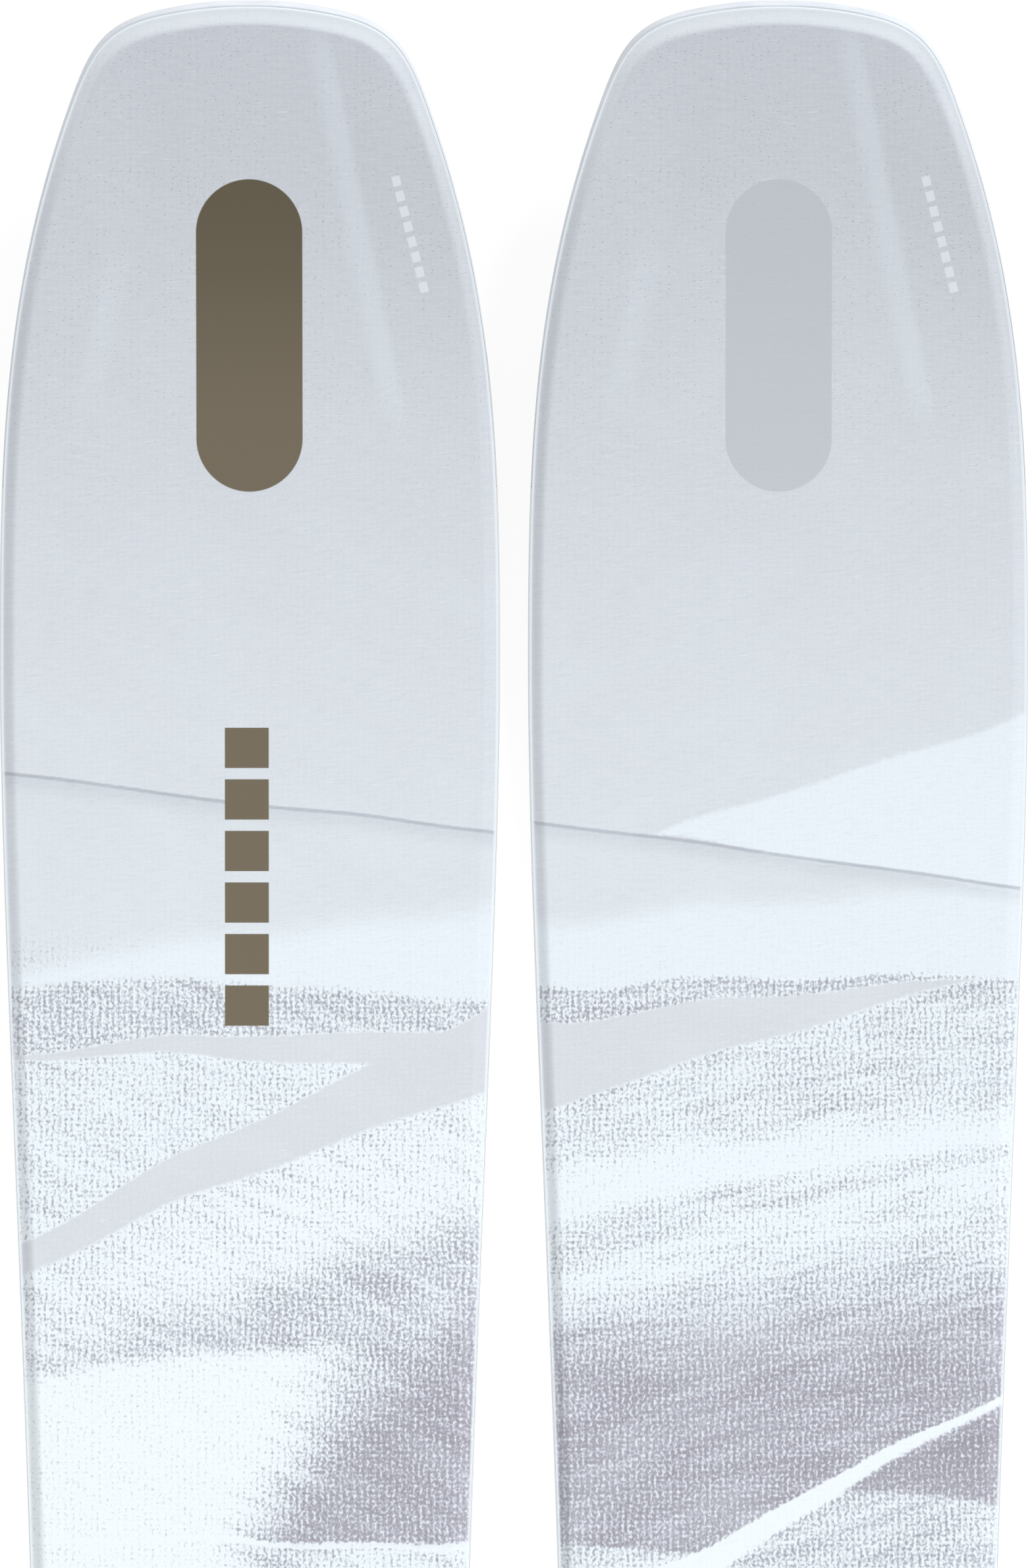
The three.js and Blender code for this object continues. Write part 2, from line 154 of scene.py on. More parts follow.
# The rolled edge rises from lip to shoulder, with a crisp shoulder at the tip and a soft one along
# the sides. Places on it are shares of the way in.
ROLL_STEPS = 14
CRISP_GAIN = 1.12
CRISP_POWER = 1.5
CRISP_ROUNDING = 0.12
SOFT_START = 0.07
SOFT_LENGTH = 0.8
SOFT_POWER = 0.85

LOWER_BEVEL = 0.5  # of the tail protector
UPPER_BEVEL = 0.9

# ---- Curves along the ski -----------------------------------------------------------------------


def smoothstep(value, low, high):
    share = min(1, max(0, (value - low) / (high - low)))
    return share * share * (3 - 2 * share)


def rocker(station):
    """Height of the base above the floor."""
    ahead = (FRONT_CONTACT - station) / FRONT_CONTACT
    behind = (station - REAR_CONTACT) / (LENGTH - REAR_CONTACT)
    if ahead > 0:
        return TIP_HEIGHT * ahead**TIP_ROCKER_POWER
    if behind > 0:
        return TAIL_HEIGHT * behind**TAIL_ROCKER_POWER
    turn = 2 * math.pi * (station - FRONT_CONTACT) / (REAR_CONTACT - FRONT_CONTACT)
    return CAMBER * (1 - math.cos(turn)) / 2


def tilt(station):
    return math.atan((rocker(station + 1) - rocker(station - 1)) / 2)


def thickness(station):
    gained = (BODY_THICKNESS - TIP_THICKNESS) * smoothstep(station, *TIP_TAPER)
    lost = (BODY_THICKNESS - TAIL_THICKNESS) * smoothstep(station, *TAIL_TAPER)
    return TIP_THICKNESS + gained - lost


def crease(station):
    share = min(1, max(0, station / WING_END))
    return CREASE_AT_TIP + (CREASE_AT_END - CREASE_AT_TIP) * share


def wing_rise(x, station):
    """How far the shovel's wings stand up outside the crease, which is a soft bend."""
    slope = WING_SLOPE * smoothstep(station, WING_START, WING_FULL)
    slope *= 1 - smoothstep(station, WING_FULL, WING_END)
    outside = abs(x) - crease(station)
    if outside > CREASE_SOFTNESS:
        return slope * outside
    return slope * max(0, outside + CREASE_SOFTNESS) ** 2 / (4 * CREASE_SOFTNESS)


def roll_drop(top):
    return THIN_DROP + DROP_PER_THICKNESS * (top - TIP_THICKNESS)


def side_share(station):
    """0 at the tip, and 1 where the edge has the look that it keeps along the sides."""
    return smoothstep(station, *SIDE_LOOK_FROM)


def roll_level(top, share, station):
    """Level of the topsheet's rolled edge, from its lip (share 0) to its shoulder (share 1)."""
    rise = CRISP_GAIN * share**CRISP_POWER
    blend = min(1, max(0, 0.5 + (1 - rise) / (2 * CRISP_ROUNDING)))
    crisp = 1 - blend * (1 - rise) - CRISP_ROUNDING * blend * (1 - blend)
    along_roll = min(1, max(0, share - SOFT_START) / SOFT_LENGTH)
    soft = (1 - math.cos(math.pi * along_roll**SOFT_POWER)) / 2
    risen = crisp + (soft - crisp) * side_share(station)
    return top - (roll_drop(top) - TOPSHEET) * (1 - risen)


# ---- Plan outline -------------------------------------------------------------------------------


def bend(start, end, leaving, arriving, reach_out, reach_in, steps):
    """Points of one smooth bend, without its start. Headings are 0 straight back and grow outwards,
    and the reaches are the lengths of the bend's two handles."""
    first = (start[0] + reach_out * math.cos(leaving), start[1] + reach_out * math.sin(leaving))
    second = (end[0] - reach_in * math.cos(arriving), end[1] - reach_in * math.sin(arriving))
    points = []
    for step in range(1, steps + 1):
        t = step / steps
        weights = ((1 - t) ** 3, 3 * t * (1 - t) ** 2, 3 * t * t * (1 - t), t**3)
        controls = (start, first, second, end)
        points.append(tuple(sum(w * c[axis] for w, c in zip(weights, controls)) for axis in (0, 1)))
    return points


def end_arc(radius):
    """Points on an end arc, from the ski's middle outwards, as (distance from the end, half width)."""
    steps = 9
    angles = [ARC_ANGLE * step / steps for step in range(steps + 1)]
    return [(radius * (1 - math.cos(angle)), radius * math.sin(angle)) for angle in angles]


def half_outline():
    """The right half of the plan outline from tip to tail, as (station, half width) points."""
    points = end_arc(TIP_ARC)
    tail_arc = [(LENGTH - back, half_width) for back, half_width in reversed(end_arc(TAIL_ARC))]
    across = math.pi / 2 - ARC_ANGLE
    heading = across
    for place, next_heading, reach_out, reach_in, steps in (
        (TIP_CORNER, TIP_HEADING, 15.3, 14.3, 22),
        (TIP_WIDEST, 0, 51.5, 56, 40),
        (WAIST, 0, 113, 492, 62),
        (TAIL_WIDEST, 0, 330, 90, 50),
        (TAIL_CORNER, TAIL_HEADING, 37, 34, 20),
        (tail_arc[0], -across, 12, 12, 16),
    ):
        points += bend(points[-1], place, heading, next_heading, reach_out, reach_in, steps)
        heading = next_heading
    return points + tail_arc[1:]


def with_stations(points, stations):
    """The same outline with more points, exactly at these stations."""
    result = list(points)
    for station in stations:
        after = next(i for i, point in enumerate(result) if point[0] > station)
        (s0, w0), (s1, w1) = result[after - 1], result[after]
        share = (station - s0) / (s1 - s0)
        result.insert(after, (station, w0 + (w1 - w0) * share))
    return result


class Rib:
    """A place on the right half of the outline, with the direction in which insets run."""

    def __init__(self, before, point, after):
        self.station, self.half_width = point
        along = Vector((after[0] - before[0], after[1] - before[1])).normalized()
        self.inwards = (along.y, -along.x)
        self.top = thickness(self.station)

    def at(self, inset, level):
        """The flat point (x, station, level) at an inset."""
        x = self.half_width + self.inwards[1] * inset
        return x, self.station + self.inwards[0] * inset, level


def make_ribs():
    breaks = (EDGES_FROM - STEP, EDGES_FROM, CORE_FROM - STEP, CORE_FROM, LAYERS_TO, PROTECTOR_FROM)
    points = with_stations(half_outline(), breaks)
    mirrored_ends = [(points[1][0], -points[1][1]), (points[-2][0], -points[-2][1])]
    line = [mirrored_ends[0], *points, mirrored_ends[1]]
    return [Rib(*line[i - 1 : i + 2]) for i in range(1, len(line) - 1)]


RIBS = make_ribs()

# ---- Meshes -------------------------------------------------------------------------------------

WELD_DISTANCE = 0.0005
SPARE_RIBS = 8  # ahead of a piece's start, because insets near the tip lean back
INSETS_TO = 12  # deeper places all have this inset, as it makes no difference to the shading
SHARP_ANGLE = math.radians(35)


def loft(loops):
    """A flat-built mesh through closed loops of the same number of points."""
    mesh = bmesh.new()
    rings = [[mesh.verts.new(point) for point in loop] for loop in loops]
    for ring, following in zip(rings, rings[1:]):
        for i, vertex in enumerate(ring):
            corner = ring[i - 1]
            mesh.faces.new((corner, vertex, following[i], following[i - 1]))
    return mesh


def weld(mesh):
    bmesh.ops.remove_doubles(mesh, verts=mesh.verts, dist=WELD_DISTANCE)
    bmesh.ops.dissolve_degenerate(mesh, edges=mesh.edges, dist=WELD_DISTANCE)


def cut(mesh, station, keep_behind):
    """Cuts the mesh square at a station and closes the cut."""
    geometry = [*mesh.verts, *mesh.edges, *mesh.faces]
    result = bmesh.ops.bisect_plane(
        mesh,
        geom=geometry,
        plane_co=(0, station, 0),
        plane_no=(0, 1, 0),
        clear_inner=keep_behind,
        clear_outer=not keep_behind,
    )
    rim = [item for item in result["geom_cut"] if isinstance(item, bmesh.types.BMEdge)]
    rim = [edge for edge in rim if edge.is_boundary]
    if rim:
        bmesh.ops.contextual_create(mesh, geom=rim)


def spanning(start, end):
    """The ribs that a piece between two stations needs, with some to spare at each end."""
    inside = [i for i, rib in enumerate(RIBS) if start <= rib.station <= end]
    return RIBS[max(0, inside[0] - SPARE_RIBS) : inside[-1] + 2]


def column_places(half, station, count):
    """Places across half a layer, from the middle outwards, closest together at the crease."""
    fold = min(crease(station), BEND_SHARE * half)
    quarter = math.pi / 2
    inner = [fold * math.sin(quarter * k / count) for k in range(count)]
    outer = [fold + (half - fold) * (1 - math.cos(quarter * k / count)) for k in range(count)]
    return inner + outer


def whole_row(right_half):
    """A row of points from the ski's left to its right, from its right half."""
    return [(-x, station, level) for x, station, level in reversed(right_half[1:])] + right_half


def plate(start, end, profile, count=4):
    """A layer that spans the ski. Its profile runs from the inner end of its underside, round its
    edge, to the inner end of its top, as (inset, level) pairs."""
    loops = []
    for rib in spanning(start, end):
        right = [rib.at(*point) for point in profile(rib)]
        left = [(-x, station, level) for x, station, level in reversed(right)]
        under, over = [
            whole_row([(x, station, level) for x in column_places(half, station, count)])
            for half, station, level in (right[0], right[-1])
        ]
        loops.append(under + right + over[::-1] + left)
    mesh = loft(loops)
    weld(mesh)
    return trimmed(mesh, start, end)


def rail(start, end, profile):
    """A piece along the right side of the ski, from its closed profile of (inset, level) pairs."""
    mesh = loft([[rib.at(*point) for point in profile(rib)] for rib in spanning(start, end)])
    return trimmed(mesh, start, end)


def bar(start, end, section):
    """A piece in the middle of the ski, from its closed section of (x, level) pairs."""
    loops = [[(x, rib.station, z) for x, z in section(rib)] for rib in spanning(start, end)]
    return trimmed(loft(loops), start, end)


def trimmed(mesh, start, end):
    if start > 0:
        cut(mesh, start, keep_behind=True)
    if end < LENGTH:
        cut(mesh, end, keep_behind=False)
    return mesh


def mirrored(mesh):
    other = mesh.copy()
    for vertex in other.verts:
        vertex.co.x = -vertex.co.x
    return other


def bent(point, centre):
    """A flat point in its place on a ski, in metres."""
    x, station, level = point
    lean = tilt(station)
    kept = min(LENGTH - TAIL_FLAT, max(END_FLAT, station))
    forward = LENGTH / 2 - kept + level * math.sin(lean)
    height = rocker(kept) + level * math.cos(lean) + wing_rise(x, station)
    return Vector((MM * (centre + x), MM * forward, MM * height))


def inset_of(point):
    """Distance of a flat point from the plan outline."""
    x, station, _ = point
    near = [rib for rib in RIBS if abs(rib.station - station) < INSETS_TO]
    gaps = [math.hypot(abs(x) - rib.half_width, station - rib.station) for rib in near]
    return min(gaps, default=INSETS_TO)


def add_object(name, data):
    item = bpy.data.objects.new(name, data)
    bpy.context.scene.collection.objects.link(item)
    return item


def build(side, name, mesh, slot):
    """Turns a flat-built mesh into a piece of one ski, in place of the CAD node of that name."""
    if name == "topsheet":
        insets = mesh.verts.layers.float.new("inset")
        for vertex in mesh.verts:
            vertex[insets] = inset_of(vertex.co)
    for vertex in mesh.verts:
        vertex.co = bent(vertex.co, SKIS[side])
    bmesh.ops.recalc_face_normals(mesh, faces=mesh.faces)
    bmesh.ops.triangulate(mesh, faces=[face for face in mesh.faces if len(face.verts) > 4])
    data = bpy.data.meshes.new(f"{side}_{name}_skin")
    mesh.to_mesh(data)
    mesh.free()
    data.polygons.foreach_set("use_smooth", [True] * len(data.polygons))
    data.set_sharp_from_angle(angle=SHARP_ANGLE)
    data.materials.append(MATERIALS[slot])
    piece = add_object(data.name, data)
    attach(piece, f"{side}_ski")
    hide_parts(f"{side}_{name}")


# ---- The layers ---------------------------------------------------------------------------------


def lip_inset(rib):
    """Inset of the topsheet's outer edge."""
    return TIP_LIP + (SIDE_LIP - TIP_LIP) * side_share(rib.station)


def rounded_corner(inset, level, ease):
    """The top corner of a wall that stands at an inset, from the wall to the top."""
    near = EASE_CORNER * ease
    return [(inset, level - ease), (inset + near, level - near), (inset + ease, level)]


def topsheet_profile(rib):
    shares = [step / ROLL_STEPS for step in range(ROLL_STEPS + 1)]
    lip = lip_inset(rib)
    reach = SHOULDER - lip
    roll = [(lip + share * reach, roll_level(rib.top, share, rib.station)) for share in shares]
    under = [(inset, level - TOPSHEET) for inset, level in reversed(roll)]
    return under + rounded_corner(*roll[0], EASE) + roll[1:]


def seam_level(rib):
    """Top of the narrow band outside the topsheet's lip: lower at the tip, near flush elsewhere."""
    step = SEAM_AT_TIP + (SEAM_AT_SIDE - SEAM_AT_TIP) * side_share(rib.station)
    return roll_level(rib.top, 0, rib.station) - step


def outer_band(rib, outer):
    """The top of the outer wall, up to the seam, and the ledge under the topsheet."""
    seam = seam_level(rib)
    ledge = rib.top - roll_drop(rib.top) - 2 * GLUE
    inner = lip_inset(rib) - SEAM_GAP
    return [
        *rounded_corner(outer, seam, min(EASE, (inner - outer) / 2)),
        (inner, seam),
        (inner, ledge),
        (inner + TOE, ledge),
        (SHOULDER + SIDE_GAP, rib.top - CORE_TOP),
    ]


def upper_laminate_profile(rib):
    inset = SHOULDER + SIDE_GAP
    return [(inset, rib.top - UPPER_BOTTOM), (inset, rib.top - UPPER_TOP)]


def base_profile(rib):
    inset = EDGE_WIDTH + SIDE_GAP
    return [(inset, 0), (inset, BASE_TOP)]


def carbon_mesh_profile(rib):
    ahead = rib.station < EDGES_FROM
    inset = (TIP_RIM_WIDTH if ahead else FLANGE_WIDTH) + SIDE_GAP
    return [(inset, BASE_TOP + GLUE), (inset, MESH_TOP_AT_TIP if ahead else EDGE_TOP)]


def laminate_inset(rib):
    return TIP_RIM_WIDTH + SIDE_GAP if rib.station < CORE_FROM else FOOT_INSET


def strips_reach(rib):
    """Whether the damping strips reach in as far as this rib."""
    return rib.at(DAMPING_WIDTH, 0)[1] > STRIPS_FROM


def lower_laminate_profile(rib):
    outer = laminate_inset(rib)
    inner = DAMPING_WIDTH + SIDE_GAP if strips_reach(rib) else outer + SIDE_GAP
    return [
        (inner, EDGE_TOP + GLUE),
        (inner, DAMPING_TOP + GLUE),
        (outer, DAMPING_TOP + GLUE),
        (outer, LAMINATE_TOP),
        (outer + SIDE_GAP, LAMINATE_TOP),
    ]


def tip_spacer_profile(rib):
    ahead = rib.station < EDGES_FROM
    foot = 0 if ahead else EDGE_TOP + GLUE
    outer = 0 if ahead else FOOT_INSET
    return [
        (TIP_RIM_WIDTH, CORE_BOTTOM),
        (TIP_RIM_WIDTH, foot),
        (outer + 2 * EASE, foot),
        (outer + EASE / 2, foot + EASE / 2),
        (outer, foot + 2 * EASE),
        *outer_band(rib, outer),
    ]


def tail_spacer_profile(rib):
    inset = SIDEWALL_WIDTH + SIDE_GAP
    return [(inset, CORE_BOTTOM), (inset, rib.top - CORE_TOP)]


def sidewall_profile(rib):
    return [
        (SIDEWALL_WIDTH, CORE_BOTTOM),
        (FOOT_INSET, CORE_BOTTOM),
        *outer_band(rib, FOOT_INSET),
        (SIDEWALL_WIDTH, rib.top - CORE_TOP),
    ]


def steel_edge_profile(rib):
    return [
        (FLANGE_WIDTH, BASE_TOP + GLUE),
        (EDGE_WIDTH, BASE_TOP + GLUE),
        (EDGE_WIDTH, 0),
        (EASE, 0),
        (0, EASE),
        (0, EDGE_TOP - EASE),
        (EASE, EDGE_TOP),
        (FLANGE_WIDTH, EDGE_TOP),
    ]


def damping_profile(rib):
    outer = laminate_inset(rib) + GLUE
    return [
        (DAMPING_WIDTH, EDGE_TOP + GLUE),
        (outer, EDGE_TOP + GLUE),
        (outer, DAMPING_TOP),
        (DAMPING_WIDTH, DAMPING_TOP),
    ]


# ---- The core -----------------------------------------------------------------------------------


def backbone_section(rib):
    half = 1.5 * STRINGER_WIDTH - GLUE
    top = rib.top - CORE_TOP
    return [(-half, top - BACKBONE), (half, top - BACKBONE), (half, top), (-half, top)]


def stringer_section(rib, number):
    """One of the core's strips, numbered from the left."""
    place = number - (STRINGERS - 1) / 2
    left = (place - 0.5) * STRINGER_WIDTH + GLUE
    right = (place + 0.5) * STRINGER_WIDTH - GLUE
    edge = rib.half_width - SIDEWALL_WIDTH - SIDE_GAP
    top = rib.top - CORE_TOP
    if place == (STRINGERS - 1) / 2:
        right = edge
    elif place == (1 - STRINGERS) / 2:
        left = -edge
    elif BACKBONE_FROM <= rib.station <= BACKBONE_TO:
        top -= BACKBONE + GLUE
    return [(left, CORE_BOTTOM), (right, CORE_BOTTOM), (right, top), (left, top)]


# ---- The tail protector -------------------------------------------------------------------------


def protector_outline():
    """Half of the protector seen from above, from its front corner to the middle of the notch."""
    outer = [rib.at(GLUE, 0) for rib in RIBS if rib.station >= PROTECTOR_FROM]
    notch_centre = LENGTH + NOTCH_RADIUS - NOTCH_DEPTH
    clear_of_notch = NOTCH_RADIUS + 0.3
    outside = [(x, s) for x, s, _ in outer if math.hypot(x, s - notch_centre) > clear_of_notch]
    mouth = LENGTH - 0.25
    meets = math.asin((mouth - notch_centre) / NOTCH_RADIUS)
    steps = 12
    angles = [meets + (-math.pi / 2 - meets) * step / steps for step in range(steps + 1)]
    notch = [(NOTCH_RADIUS * math.cos(a), notch_centre + NOTCH_RADIUS * math.sin(a)) for a in angles]
    return [*outside, *notch]


def free_edges(mesh, ring):
    """The edges of a ring round the protector, without its front and the short edges beside that."""
    margin = 0.01
    edges = []
    for pair in zip([ring[-1], *ring], ring):
        stations = [vertex.co.y for vertex in pair]
        if min(stations) > PROTECTOR_FROM - margin and max(stations) > PROTECTOR_FROM + margin:
            edges.append(mesh.edges.get(pair))
    return edges


def tail_protector():
    """The moulded tail end: a rounded slab with a round notch for a climbing skin's clip."""
    half = protector_outline()
    outline = half + [(-x, s) for x, s in reversed(half[:-1])]
    mesh = bmesh.new()
    levels = (0, thickness(LENGTH))
    lower, upper = [[mesh.verts.new((x, s, level)) for x, s in outline] for level in levels]
    mesh.faces.new(reversed(lower))
    mesh.faces.new(upper)
    for i, vertex in enumerate(lower):
        mesh.faces.new((lower[i - 1], vertex, upper[i], upper[i - 1]))
    rims = [(free_edges(mesh, lower), LOWER_BEVEL), (free_edges(mesh, upper), UPPER_BEVEL)]
    for edges, reach in rims:
        bmesh.ops.bevel(
            mesh,
            geom=[edge for edge in edges if edge.is_valid],
            offset=reach,
            segments=3,
            profile=0.5,
            affect="EDGES",
            clamp_overlap=True,
        )
    slices = 9  # so that the slab can follow the tail's rise
    for i in range(1, slices):
        station = PROTECTOR_FROM + (LENGTH - PROTECTOR_FROM) * i / slices
        geometry = [*mesh.verts, *mesh.edges, *mesh.faces]
        bmesh.ops.bisect_plane(mesh, geom=geometry, plane_co=(0, station, 0), plane_no=(0, 1, 0))
    return mesh


# ---- Shading fields -----------------------------------------------------------------------------


class Field:
    """A number that varies over a surface: a node's output, with arithmetic that adds nodes."""

    def __init__(self, tree, socket):
        self.tree = tree
        self.socket = socket

    def math(self, operation, *others):
        node = self.tree.nodes.new("ShaderNodeMath")
        node.operation = operation
        for entry, value in zip(node.inputs, (self, *others)):
            feed(self.tree, value, entry)
        return Field(self.tree, node.outputs[0])

    def __add__(self, other):
        return self.math("ADD", other)

    def __sub__(self, other):
        return self.math("SUBTRACT", other)

    def __mul__(self, other):
        return self.math("MULTIPLY", other)

    def __truediv__(self, other):
        return self.math("DIVIDE", other)

    def __neg__(self):
        return self * -1

    def __rsub__(self, other):
        return -self + other

    def size(self):
        return self.math("ABSOLUTE")

    def wave(self):
        return self.math("SINE")

    def most(self, other):
        return self.math("MAXIMUM", other)

    def remainder(self, period):
        return self.math("FLOORED_MODULO", period)

    def rise(self, low, high, bottom=0.0, top=1.0):
        """Climbs smoothly from bottom to top as this field goes from low to high."""
        node = self.tree.nodes.new("ShaderNodeMapRange")
        node.interpolation_type = "SMOOTHSTEP"
        for entry, value in zip(node.inputs, (self, low, high, bottom, top)):
            feed(self.tree, value, entry)
        return Field(self.tree, node.outputs[0])

    def within(self, low, high, soft):
        """1 between two values and 0 outside, with soft ends."""
        return self.rise(low - soft, low + soft) * self.rise(high + soft, high - soft)

    def hypotenuse(self, other):
        return (self * self + other * other).math("SQRT")


def feed(tree, value, entry):
    if isinstance(value, Field):
        tree.links.new(value.socket, entry)
    else:
        entry.default_value = value


def colour(red, green, blue):
    """A display colour from 0 to 255 as the linear one that shaders take."""

    def linear(level):
        level /= 255
        return level / 12.92 if level <= 0.04045 else ((level + 0.055) / 1.055) ** 2.4

    return linear(red), linear(green), linear(blue), 1


class Finish:
    """A material under construction: its shader, and the coordinates that its fields start from."""

    def __init__(self, name, roughness, metallic=0.0):
        self.material = bpy.data.materials.new(name)
        self.material.use_nodes = True
        self.tree = self.material.node_tree
        self.shader = self.tree.nodes["Principled BSDF"]
        self.shader.inputs["Roughness"].default_value = roughness
        self.shader.inputs["Metallic"].default_value = metallic
        place = self.tree.nodes.new("ShaderNodeTexCoord")
        split = self.tree.nodes.new("ShaderNodeSeparateXYZ")
        self.tree.links.new(place.outputs["Object"], split.inputs[0])
        across, along, up = [Field(self.tree, output) for output in split.outputs]
        self.across = across / MM
        self.along = LENGTH / 2 - along / MM
        self.up = up / MM

    def grid(self, *parts):
        node = self.tree.nodes.new("ShaderNodeCombineXYZ")
        for entry, part in zip(node.inputs, parts):
            feed(self.tree, part, entry)
        return node.outputs[0]

    def noise(self, *parts, detail=1, rough=0.5):
        """Smooth noise around 0.5, with features about one unit across in each coordinate."""
        node = self.tree.nodes.new("ShaderNodeTexNoise")
        node.noise_dimensions = "3D" if len(parts) == 3 else "2D"
        self.tree.links.new(self.grid(*parts), node.inputs["Vector"])
        node.inputs["Scale"].default_value = 1
        node.inputs["Detail"].default_value = detail
        node.inputs["Roughness"].default_value = rough
        return Field(self.tree, node.outputs[0])

    def dots(self, *parts):
        """Distance to the nearest of many scattered points, and a random number for that point."""
        node = self.tree.nodes.new("ShaderNodeTexVoronoi")
        node.voronoi_dimensions = "2D"
        self.tree.links.new(self.grid(*parts), node.inputs["Vector"])
        node.inputs["Scale"].default_value = 1
        split = self.tree.nodes.new("ShaderNodeSeparateColor")
        self.tree.links.new(node.outputs["Color"], split.inputs[0])
        return Field(self.tree, node.outputs["Distance"]), Field(self.tree, split.outputs[0])

    def mix(self, under, over, share):
        """A colour between two others."""
        node = self.tree.nodes.new("ShaderNodeMix")
        node.data_type = "RGBA"
        node.clamp_factor = True
        feed(self.tree, share, node.inputs[0])
        for entry, tint in ((node.inputs[6], under), (node.inputs[7], over)):
            if isinstance(tint, tuple):
                entry.default_value = tint
            else:
                self.tree.links.new(tint, entry)
        return node.outputs[2]

    def surface(self, tint, roughness, height, depth):
        """The finished material. In its small relief, height 1 stands depth millimetres over 0."""
        self.tree.links.new(tint, self.shader.inputs["Base Color"])
        feed(self.tree, roughness, self.shader.inputs["Roughness"])
        node = self.tree.nodes.new("ShaderNodeBump")
        node.inputs["Distance"].default_value = MM * depth
        feed(self.tree, height, node.inputs["Height"])
        self.tree.links.new(node.outputs[0], self.shader.inputs["Normal"])
        return self.material

    def inset(self):
        """How far inside the plan outline this place is, in millimetres."""
        node = self.tree.nodes.new("ShaderNodeAttribute")
        node.attribute_name = "inset"
        return Field(self.tree, node.outputs["Fac"])


# ---- The topsheet's artwork ---------------------------------------------------------------------
# Painted canvas: a pale blue-grey wash at the tip, then broad soft strokes over a coarse weave.

# The wash, as (station, colour) stops.
WASH = (
    (0, colour(208, 213, 222)),
    (45, colour(208, 213, 221)),
    (95, colour(213, 219, 226)),
    (150, colour(218, 224, 231)),
    (225, colour(222, 229, 235)),
    (300, colour(228, 235, 242)),
)

# Paint of the strokes. SNOW and BAND are also used as painted highlights on the topsheet's edge and as
# a painted sheen beside the crease.
BAND = colour(236, 246, 253)
SMOOTH_GREY = colour(217, 222, 229)
THREADS = colour(238, 247, 253)
SNOW = colour(242, 250, 254)
VIOLET = colour(218, 223, 234)

# Darker ground that shows between the canvas's threads. SHADE is also used as painted shade on the
# rolled edge's slope.
SHADE = colour(164, 162, 175)
GREY_SHADE = colour(158, 164, 173)
DEEP_SHADE = colour(128, 124, 136)

# Fine detail.
LINE = colour(172, 177, 188)
SPECK = colour(150, 156, 166)
WHITE = colour(255, 255, 255)
DARK = colour(120, 128, 142)

# Printed marks.
BRONZE_TOP = colour(98, 89, 70)
BRONZE_BOTTOM = colour(116, 106, 88)
GHOST = colour(195, 200, 207)
PALE_MARK = colour(235, 241, 246)

WEAVE_ACROSS = 1.75  # from one of the canvas's threads to the next
WEAVE_ALONG = 1.35

# The strokes are plain slanted bands. Each has a front edge and a back edge, the softness of the two,
# its paint, its strength, and how much ground shows in it. An edge is given by its stations on the
# ski's left and right, STROKE_REACH from the centre line.
STROKE_REACH = 64
STROKES = {
    "left": (
        ((259, 261), (700, 700), (1.5, 1), THREADS, 1, 0.34),
        ((259, 261), (344, 338), (1.5, 10), THREADS, 1, 0.38),
        ((343, 318), (480, 372), (10, 14), THREADS, 1, 0.58),
        ((345, 284), (362, 318), (9, 9), SNOW, 0.6, 0.24),
        ((474, 340), (407, 407), (15, 0.8), VIOLET, 0.9, 0.82),
        ((362, 350), (550, 262), (3, 32), SNOW, 0.9, 0.14),
        ((404, 406), (405, 408), (0.4, 0.4), SNOW, 0.8, 0),
        ((255, 238), (258, 261), (5, 1.5), BAND, 0.85, 0.06),
        ((259, 261), (277, 268), (1.5, 0.6), THREADS, 1, 0.56),
        ((277, 268), (278, 279), (0.4, 0.5), SMOOTH_GREY, 1, 0),
        ((329, 262), (336, 284), (0.5, 0.8), SMOOTH_GREY, 1, 0),
    ),
    "right": (
        ((260, 256), (700, 700), (1.2, 1), THREADS, 1, 0.44),
        ((260, 256), (276, 258), (1.2, 4), THREADS, 1, 0.58),
        ((353, 341), (407, 407), (18, 0.8), VIOLET, 0.9, 0.8),
        ((436, 367), (700, 700), (0.6, 1), THREADS, 1, 0.52),
        ((436, 367), (386, 398), (0.6, 1.4), VIOLET, 1, 0.88),
        ((307, 291), (322, 300), (6, 3), THREADS, 0.9, 0.14),
        ((337, 302), (347, 315), (2.5, 7), THREADS, 0.9, 0.28),
        ((427, 366), (438, 368), (0.5, 1), SNOW, 1, 0.06),
        ((243, 231), (260, 256), (4, 1.2), BAND, 0.8, 0.06),
        ((269, 256), (291, 254), (0.4, 0.6), SMOOTH_GREY, 1, 0),
        ((231, 187), (216, 233), (0.8, 0.4), BAND, 0.9, 0.05),
    ),
}
LINES = {"left": (203, 219), "right": (216, 233)}  # the thin dark line, as such an edge
STREAK_SLOPES = {"left": -0.4, "right": 0.22}
DRIFT_STARTS = {"left": 4, "right": 5}  # so that the two skis' edges don't wander alike

# Behind those, more strokes of the same kind repeat until near the tail. Each has its start, end and
# softness as shares of the period, its paint, and how much ground shows.
FAR_FROM = 412
FAR_PERIOD = 290
FAR_SLANT = -0.85
FAR_FADE_IN = 25
FAR_FADE_OUT = (1470, 1560)
TAIL_WASH_FROM = 1480
TAIL_PAINT = colour(213, 219, 226)
FAR_STROKES = (
    (0.00, 0.30, 0.05, THREADS, 0.36),
    (0.30, 0.46, 0.03, SNOW, 0.12),
    (0.48, 0.66, 0.07, VIOLET, 0.52),
    (0.70, 0.73, 0.004, SMOOTH_GREY, 0),
    (0.75, 0.96, 0.03, THREADS, 0.44),
)


